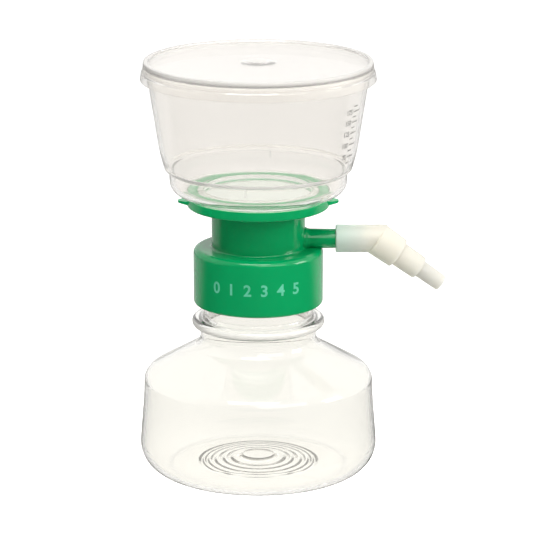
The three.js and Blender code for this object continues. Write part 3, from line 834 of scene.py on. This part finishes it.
def plain_text(name, words, size, boldness, align="CENTER"):
    """Thin raised lettering lying flat in XY, as a mesh."""
    start_fresh()
    bpy.ops.object.text_add(location=(0, 0, 0))
    piece = bpy.context.active_object
    piece.name = name
    piece.data.body = words
    piece.data.size = size
    piece.data.align_x = align
    piece.data.align_y = "CENTER"
    piece.data.offset = boldness
    piece.data.extrude = 0.03 * MM
    bpy.ops.object.convert(target="MESH")
    piece = only(bpy.context.active_object)
    edit_all()
    strip = 0.9 * MM
    left, right = piece.bound_box[0][0], piece.bound_box[6][0]
    for i in range(1, int((right - left) / strip) + 1):
        bpy.ops.mesh.select_all(action="SELECT")
        bpy.ops.mesh.bisect(plane_co=(left + i * strip, 0, 0), plane_no=(1, 0, 0), threshold=WELD)
    return finished()


def wrap_round(piece, radius_at, z, offset):
    """Bends a flat print, drawn in XY, round the bottle's axis, facing the front."""
    only(piece)
    bpy.ops.object.mode_set(mode="EDIT")
    shape = bmesh.from_edit_mesh(piece.data)
    for point in shape.verts:
        x, y, out = point.co
        height = z + y
        radius = radius_at(height) if callable(radius_at) else radius_at
        turn = (x + offset) / radius
        reach = radius + out
        point.co = (AXIS_X + reach * math.sin(turn), -reach * math.cos(turn), height)
    bmesh.update_edit_mesh(piece.data)
    tidy_shell()
    return finished()


class FILTER_OT_plug(Operator):
    """Model the fibre plug in the bore of the side arm"""

    bl_idname = "filter_unit.plug"
    bl_label = "Port plug"

    def execute(self, context):
        unit = settings()
        radius = (PLUG_HIGH.z - PLUG_LOW.z) / 2
        start, end = PLUG_LOW.x - AXIS_X, PLUG_HIGH.x - AXIS_X
        soft = 0.7 * MM
        outline = [(0, start), (radius, start, soft, 4), (radius, end, soft, 4), (0, end)]
        piece = smooth(turned_on_arm("port_plug_wad", outline, 48))
        look = fibre("cotton_fibre", unit.finish.cotton, 2500, 0.1 * MM, 0.95)
        hand_over(piece, look, "head", "port_plug", "cotton")
        return {"FINISHED"}


class FILTER_OT_adapter(Operator):
    """Model the angled hose adapter with its three stepped sections"""

    bl_idname = "filter_unit.adapter"
    bl_label = "Hose adapter"

    def execute(self, context):
        unit = settings()
        s = unit.adapter
        mouth = ADAPTER_LOW.x - AXIS_X
        bend_x = ARM_TIP + s.bend_past_arm
        bend = ARM_CENTRE + RIGHT * bend_x
        down = Vector((math.cos(s.bend), 0, -math.sin(s.bend)))
        square = Vector((math.sin(s.bend), 0, math.cos(s.bend)))
        end = bend_x + s.socket_radius
        outline = [(0, mouth), (s.socket_radius, mouth, 0.55 * MM, 4), (s.socket_radius, end), (0, end)]
        socket = only(turned_on_arm("hose_adapter_moulding", outline, unit.facets_small))
        edit_all()
        bpy.ops.mesh.bisect(
            plane_co=bend + down * 0.3 * MM, plane_no=down, use_fill=True, clear_outer=True, threshold=WELD
        )
        tidy_shell()
        finished()
        edge = 0.5 * MM
        outline = [
            (0, 0), (6.9 * MM, 0, 0.9 * MM, 4), (6.55 * MM, 11.0 * MM, edge), (5.2 * MM, 11.0 * MM, edge),
            (5.0 * MM, 22.0 * MM, edge), (3.7 * MM, 22.0 * MM, edge), (3.45 * MM, 33.3 * MM, edge),
            (0, 33.3 * MM),
        ]
        steps = turned("steps", outline, unit.facets_small, bend, down, square)
        combine(socket, steps, "UNION")
        bore = unit.base.arm_radius + 0.3 * MM
        shoulder = ARM_TIP + 0.3 * MM
        outline = [
            (0, mouth - MM), (bore, mouth - MM), (bore, shoulder), (s.passage, shoulder),
            (s.passage, bend_x + MM), (0, bend_x + MM),
        ]
        combine(socket, turned_on_arm("socket_bore", outline, unit.facets_small), "DIFFERENCE")
        outline = rod(s.passage, -0.4 * MM, 35 * MM)
        outer = turned("passage", outline, unit.facets_small, bend, down, square)
        combine(socket, outer, "DIFFERENCE")
        smooth(socket)
        hand_over(socket, milky_plastic(unit.finish), "port", "hose_adapter", "milky_plastic")
        return {"FINISHED"}


class FILTER_OT_grid(Operator):
    """Model the slotted plate that carries the membrane"""

    bl_idname = "filter_unit.grid"
    bl_label = "Support grid"

    def slots(self, inner, outer, count):
        half = 0.8 * MM
        plan = [
            (inner, -half, half * 0.9, 4), (outer, -half, half * 0.9, 4), (outer, half, half * 0.9, 4),
            (inner, half, half * 0.9, 4),
        ]
        origin = AXIS_FOOT + UP * (GRID_LOW.z - MM)
        draw_outline("slot", plan, origin, RIGHT, ACROSS_PLAN, closed=True)
        pulled_up(GRID_HIGH.z - GRID_LOW.z + 2 * MM)
        return copies_round(finished(), count)

    def execute(self, context):
        unit = settings()
        radius = radius_of(GRID_LOW, GRID_HIGH) * MM
        edge = 0.2 * MM
        outline = [(0, GRID_LOW.z), (radius, GRID_LOW.z, edge), (radius, GRID_HIGH.z, edge), (0, GRID_HIGH.z)]
        piece = turned("support_grid_plate", outline, 96)
        slots = [self.slots(3 * MM, 12.05 * MM, 8), self.slots(13.45 * MM, 22.5 * MM, 20)]
        smooth(combine(piece, joined(slots), "DIFFERENCE"))
        look = plain_moulding("grid_plastic", unit.finish.grid, 0.5)
        hand_over(piece, look, "head", "support_grid", "white_plastic")
        return {"FINISHED"}


class FILTER_OT_membrane(Operator):
    """Model the filter membrane, lying with faint waves over its grid"""

    bl_idname = "filter_unit.membrane"
    bl_label = "Filter membrane"

    def execute(self, context):
        unit = settings()
        radius = radius_of(SHEET_LOW, SHEET_HIGH) * MM
        low, high = SHEET_LOW.z + 0.05 * MM, SHEET_HIGH.z - 0.05 * MM
        rings = 24
        outline = [(radius * i / rings, low) for i in range(rings + 1)]
        outline += [(radius * i / rings, high) for i in range(rings, -1, -1)]
        piece = turned("filter_membrane_sheet", outline, 96)
        only(piece)
        bpy.ops.object.mode_set(mode="EDIT")
        shape = bmesh.from_edit_mesh(piece.data)
        for point in shape.verts:
            x, y = point.co.x - AXIS_X, point.co.y
            wave = math.sin(x / MM * 0.42 + 0.8) * math.cos(y / MM * 0.33)
            wave += 0.5 * math.sin((x + y) / MM * 0.71)
            point.co.z += 0.03 * MM * wave
        bmesh.update_edit_mesh(piece.data)
        bpy.ops.object.mode_set(mode="OBJECT")
        smooth(piece, 60)
        # The membrane's grey colour carries painted shade for the light the clear pieces over it would hold back.
        look = fibre("membrane_sheet", unit.finish.membrane, 1800, 0.03 * MM, 0.8)
        hand_over(piece, look, "head", "filter_membrane", "membrane_sheet")
        return {"FINISHED"}


def funnel_wall(s):
    """Outside of the funnel's wall over its ledge, as (radius, height) places."""
    return [
        (s.ledge_radius, s.ledge_z + 1.1 * MM), (s.ledge_radius + 1.97 * MM, s.ledge_z + 8.3 * MM),
        (s.mouth_radius, FUNNEL_HIGH.z - s.rim_height),
    ]


class FILTER_OT_funnel(Operator):
    """Model the clear funnel with its ledge and rim"""

    bl_idname = "filter_unit.funnel"
    bl_label = "Funnel"

    def gate_ribs(self, s):
        """Two small upright ribs, one each side under the ledge."""
        reach = s.foot_radius + 1.0 * MM
        start_fresh()
        bpy.ops.mesh.primitive_cube_add(
            size=1,
            location=(AXIS_X + reach * math.sin(s.rib_turn), -reach * math.cos(s.rib_turn), s.ledge_z - 0.9 * MM),
            rotation=(0, 0, s.rib_turn),
            scale=(0.5 * MM, 2.2 * MM, 3.2 * MM),
        )
        apply_place()
        return copies_round(bpy.context.active_object, 2)

    def execute(self, context):
        unit = settings()
        s = unit.funnel
        flange = unit.base.flange_radius
        rim = radius_of(FUNNEL_LOW, FUNNEL_HIGH) * MM
        lower_top = s.foot_radius + 0.4 * MM
        weld = BASE_HIGH.z - 0.02 * MM
        ledge, belly, mouth = funnel_wall(s)
        outline = [
            (s.opening_radius, weld, 0.1 * MM), (flange - 0.1 * MM, weld, 0.2 * MM),
            (flange - 0.1 * MM, s.floor_underside, 0.4 * MM),
            (s.foot_radius, s.floor_underside, s.foot_rounding, 10), (lower_top, s.ledge_z, 0.35 * MM),
            (*ledge, 0.5 * MM, 4), (*belly, 3.0 * MM, 4), (*mouth, 0.2 * MM),
            (rim, mouth[1] + 0.5 * MM, 0.2 * MM), (rim, FUNNEL_HIGH.z, 0.55 * MM, 5),
            (s.mouth_radius - s.wall, FUNNEL_HIGH.z, 0.55 * MM, 5), (mouth[0] - s.wall, mouth[1], 0.3 * MM),
            (belly[0] - s.wall, belly[1], 3.0 * MM, 4),
            (ledge[0] - s.wall, ledge[1] + s.wall / 2, 0.5 * MM, 4),
            (lower_top - s.wall, s.ledge_z + s.wall / 2, 0.35 * MM),
            (s.foot_radius - s.floor, s.floor_underside + s.floor, s.foot_rounding - s.floor, 8),
            (s.opening_radius, s.floor_underside + s.floor, 0.5 * MM, 4),
        ]
        piece = turned("funnel_shell", outline, unit.facets_round)
        smooth(combine(piece, self.gate_ribs(s), "UNION"))
        # Edges where bright and grey light lines are painted in as frost: painted highlight and painted shade.
        rings = [
            (s.ledge_radius, s.ledge_z + 1.1 * MM, 1.3 * MM, 0.8),
            (flange, s.floor_underside, 1.2 * MM, 0.45),
            (unit.base.recess_radius + 2.4 * MM, s.floor_underside + s.floor + 1.0 * MM, 2.1 * MM, 0.15),
            (rim, FUNNEL_HIGH.z, 1.5 * MM, 0.5),
        ]
        look = clear_plastic("clear_funnel_plastic", unit.finish.clear_funnel, 0.95, 0.03, 0.06 * MM, rings)
        hand_over(piece, look, "head", "funnel", "clear_funnel")
        return {"FINISHED"}


class FILTER_OT_graduations(Operator):
    """Print the graduation marks and plain numbers on the right of the funnel"""

    bl_idname = "filter_unit.graduations"
    bl_label = "Graduations"

    def execute(self, context):
        unit = settings()
        s = unit.funnel
        corners = [(s.foot_radius, s.ledge_z), *funnel_wall(s)]

        def wall_radius(z):
            for (r0, z0), (r1, z1) in zip(corners, corners[1:]):
                if z < z1:
                    return r0 + (r1 - r0) * max(0.0, (z - z0) / (z1 - z0))
            return corners[-1][0]

        def height_holding(millilitres):
            """Height of the surface when the funnel holds so much."""
            slice_height = 0.05 * MM
            z, held = s.floor_underside + s.floor, 0.0
            while held < millilitres * 1e-6:
                held += math.pi * (wall_radius(z) - s.wall) ** 2 * slice_height
                z += slice_height
            return z

        marks = []
        first_volume, volume_step, count = 62.5, 12.5, 11
        for i in range(count):
            volume = first_volume + volume_step * i
            z = height_holding(volume)
            start = wall_radius(z) * s.scale_turn
            long = i % 2 == 1
            start_fresh()
            bpy.ops.mesh.primitive_cube_add(size=1, location=(0, 0, 0))
            tick = bpy.context.active_object
            wide = (5.2 if long else 3.0) * MM
            bpy.ops.transform.resize(value=(wide, 0.5 * MM, 0.06 * MM))
            bpy.ops.object.transform_apply(location=False, rotation=False, scale=True)
            bpy.ops.object.mode_set(mode="EDIT")
            bpy.ops.mesh.subdivide(number_cuts=3)
            bpy.ops.object.mode_set(mode="OBJECT")
            wrap_round(tick, wall_radius, z, start + wide / 2)
            marks.append(tick)
            if long:
                number = plain_text("number", str(round(volume)), 3.0 * MM, 0.07 * MM, "RIGHT")
                wrap_round(number, wall_radius, z, start - 0.8 * MM)
                marks.append(number)
        piece = joined(marks)
        piece.name = "funnel_graduations"
        look = print_ink("graduation_ink", unit.finish.marks, unit.finish.clear_funnel, 0.15)
        hand_over(piece, look, "head", None, "clear_funnel")
        return {"FINISHED"}


class FILTER_OT_lid(Operator):
    """Model the loose clear lid with its boss, raised rim and stepped skirt"""

    bl_idname = "filter_unit.lid"
    bl_label = "Funnel lid"

    def execute(self, context):
        unit = settings()
        s = unit.lid
        skirt = radius_of(LID_LOW, LID_HIGH) * MM
        flare = 0.5 * MM
        lower = skirt - flare
        step = lower - 0.45 * MM
        inner = step - s.wall
        top = inner + s.wall - flare
        plate_low = LID_HIGH.z - s.raised_rim - s.plate
        plate_top = LID_HIGH.z - s.raised_rim
        step_z = LID_HIGH.z - 4.2 * MM
        rim_inner = top - s.raised_rim_width
        edge = 0.3 * MM
        outline = [
            (0, plate_low), (inner, plate_low, 0.4 * MM), (skirt - s.wall, LID_LOW.z, 0.15 * MM),
            (skirt, LID_LOW.z, 0.35 * MM), (lower, step_z - 0.45 * MM, 0.15 * MM), (step, step_z, 0.2 * MM),
            (top, LID_HIGH.z, 0.4 * MM, 4), (rim_inner, LID_HIGH.z, edge),
            (rim_inner - 0.4 * MM, plate_top, edge), (s.boss_radius + 3.2 * MM, plate_top, 0.9 * MM, 4),
            (s.boss_radius, plate_top + s.boss_height, edge), (0, plate_top + s.boss_height),
        ]
        piece = smooth(turned("funnel_lid_shell", outline, unit.facets_round))
        # Edge where bright and grey light lines are painted in as frost: painted highlight and painted shade.
        rings = [(top - 0.7 * MM, LID_HIGH.z - 0.3 * MM, 1.7 * MM, 0.72)]
        look = clear_plastic("clear_lid_plastic", unit.finish.clear_funnel, 0.9, 0.03, 0.05 * MM, rings)
        hand_over(piece, look, "lid", "funnel_lid", "clear_funnel")
        return {"FINISHED"}


# ---------------------------------------------------------------------------------------- stage


class FILTER_OT_stage(Operator):
    """Set the pale floor, the soft studio light, the surroundings and the camera"""

    bl_idname = "filter_unit.stage"
    bl_label = "Stage"

    def floor(self, stage):
        start_fresh()
        bpy.ops.mesh.primitive_circle_add(vertices=64, radius=3.2, fill_type="NGON", location=(0, 0, 0))
        floor = bpy.context.active_object
        floor.name = "floor"
        nodes = new_material("pale_floor")
        path = nodes.add("LightPath").outputs
        through = path["Is Transmission Ray"]
        mirrored = nodes.math("SUBTRACT", path["Is Glossy Ray"], through, clamp=True)
        gloss_loss, through_loss = 1 - stage.floor_in_gloss, 1 - stage.floor_through
        in_front = nodes.between(nodes.along("Y"), 0.0, gloss_loss, start=0.2, end=0.05, eased=True)
        dark = nodes.math("MULTIPLY", mirrored, in_front)
        dimmed = nodes.math("MULTIPLY_ADD", through, through_loss, dark)
        glow = nodes.math("MULTIPLY", path["Is Camera Ray"], stage.floor_glow)
        nodes.set(
            Roughness=0.9,
            Specular_IOR_Level=0.0,
            Base_Color=nodes.blend(dimmed, stage.floor_colour, (0, 0, 0)),
            Emission_Color=(1, 1, 1, 1),
            Emission_Strength=nodes.math("MULTIPLY_ADD", through, stage.floor_glow_through, glow),
        )
        floor.data.materials.append(nodes.owner)

    def surroundings(self, stage):
        """White all round, with soft light on plain surfaces and a darker camera's side in the gloss."""
        world = bpy.data.worlds.new("studio")
        bpy.context.scene.world = world
        nodes = Nodes(world)
        nodes.tree.nodes.clear()
        path = nodes.add("LightPath").outputs
        direction = nodes.add("SeparateXYZ", [nodes.add("TexCoord").outputs["Generated"]]).outputs
        behind = nodes.between(direction["Y"], 0.0, 1.0, start=-0.95, end=0.05, eased=True)
        above = nodes.between(direction["Z"], 0.0, 1.0, start=0.3, end=0.95, eased=True)
        through = nodes.math("MULTIPLY", path["Is Transmission Ray"], stage.dark_side_through)
        lowest = nodes.math("MAXIMUM", through, stage.dark_side)
        strength = nodes.between(nodes.math("MAXIMUM", behind, above), lowest, 1.0)
        seen = nodes.add("Background", [(1.0, 0.995, 0.99, 1), strength]).outputs[0]
        soft = nodes.add("Background", [(1.0, 0.995, 0.985, 1), stage.sky_level]).outputs[0]
        white = nodes.add("Background", [(1, 1, 1, 1), 1.0]).outputs[0]
        lit = nodes.add("MixShader", [path["Is Diffuse Ray"], seen, soft]).outputs[0]
        final = nodes.add("MixShader", [path["Is Camera Ray"], lit, white]).outputs[0]
        nodes.add("OutputWorld", [final])

    def lamp(self, name, place, size, energy):
        target = Vector((AXIS_X, 0, 0.08))
        start_fresh()
        bpy.ops.object.light_add(type="AREA", location=place)
        lamp = bpy.context.active_object
        lamp.name = name
        lamp.data.shape = "RECTANGLE"
        lamp.data.size, lamp.data.size_y = size
        lamp.data.energy = energy
        lamp.visible_transmission = False
        lamp.data.color = (1.0, 0.985, 0.96)
        lamp.rotation_euler = (target - Vector(place)).to_track_quat("-Z", "Y").to_euler()

    def execute(self, context):
        stage = settings().stage
        self.floor(stage)
        self.surroundings(stage)
        self.lamp("softbox_above", (-0.1, -0.55, 1.15), (0.8, 0.6), 9.8)
        self.lamp("softbox_front", (0.5, -1.05, 0.85), (1.2, 0.7), 7.0)
        self.lamp("softbox_right", (1.25, -0.2, 0.5), (0.5, 0.5), 6.6)
        bpy.ops.object.camera_add(location=(AXIS_X, -stage.camera_distance, stage.camera_height))
        camera = bpy.context.active_object
        camera.name = "camera"
        camera.rotation_euler = (math.pi / 2 - stage.camera_pitch, 0, 0)
        camera.data.sensor_width = 36
        camera.data.lens = stage.camera_lens
        camera.data.shift_x = stage.camera_shift
        camera.data.clip_end = 20
        context.scene.camera = camera
        context.scene.view_settings.view_transform = "Standard"
        return {"FINISHED"}


# ------------------------------------------------------------------------------ panel and running

OPERATORS = [
    FILTER_OT_stage, FILTER_OT_bottle, FILTER_OT_gasket, FILTER_OT_base, FILTER_OT_collar_print, FILTER_OT_plug,
    FILTER_OT_adapter, FILTER_OT_grid, FILTER_OT_membrane, FILTER_OT_funnel, FILTER_OT_graduations, FILTER_OT_lid,
]


class FILTER_PT_unit(Panel):
    """Lists the pieces of the filtration unit"""

    bl_label = "Filtration unit"
    bl_idname = "FILTER_PT_unit"
    bl_space_type = "VIEW_3D"
    bl_region_type = "UI"
    bl_category = "Filtration"

    def draw(self, context):
        unit = settings()
        for piece in OPERATORS:
            self.layout.operator(piece.bl_idname)
        self.layout.prop(unit, "marking")
        for group in (unit.bottle, unit.thread, unit.base, unit.adapter, unit.funnel, unit.lid, unit.finish):
            box = self.layout.box()
            for key in group.bl_rna.properties.keys():
                if key not in ("rna_type", "name"):
                    box.prop(group, key)


CLASSES = [
    BottleSizes,
    ThreadSizes,
    BaseSizes,
    AdapterSizes,
    FunnelSizes,
    LidSizes,
    Finishes,
    StageSettings,
    UnitSettings,
    *OPERATORS,
    FILTER_PT_unit,
]


def register():
    for item in CLASSES:
        bpy.utils.register_class(item)
    bpy.types.Scene.filter_unit = PointerProperty(type=UnitSettings)


def unregister():
    del bpy.types.Scene.filter_unit
    for item in reversed(CLASSES):
        bpy.utils.unregister_class(item)


def main():
    register()
    for piece in OPERATORS:
        group, name = piece.bl_idname.split(".")
        getattr(getattr(bpy.ops, group), name)()
    start_fresh()


if __name__ == "__main__":
    main()
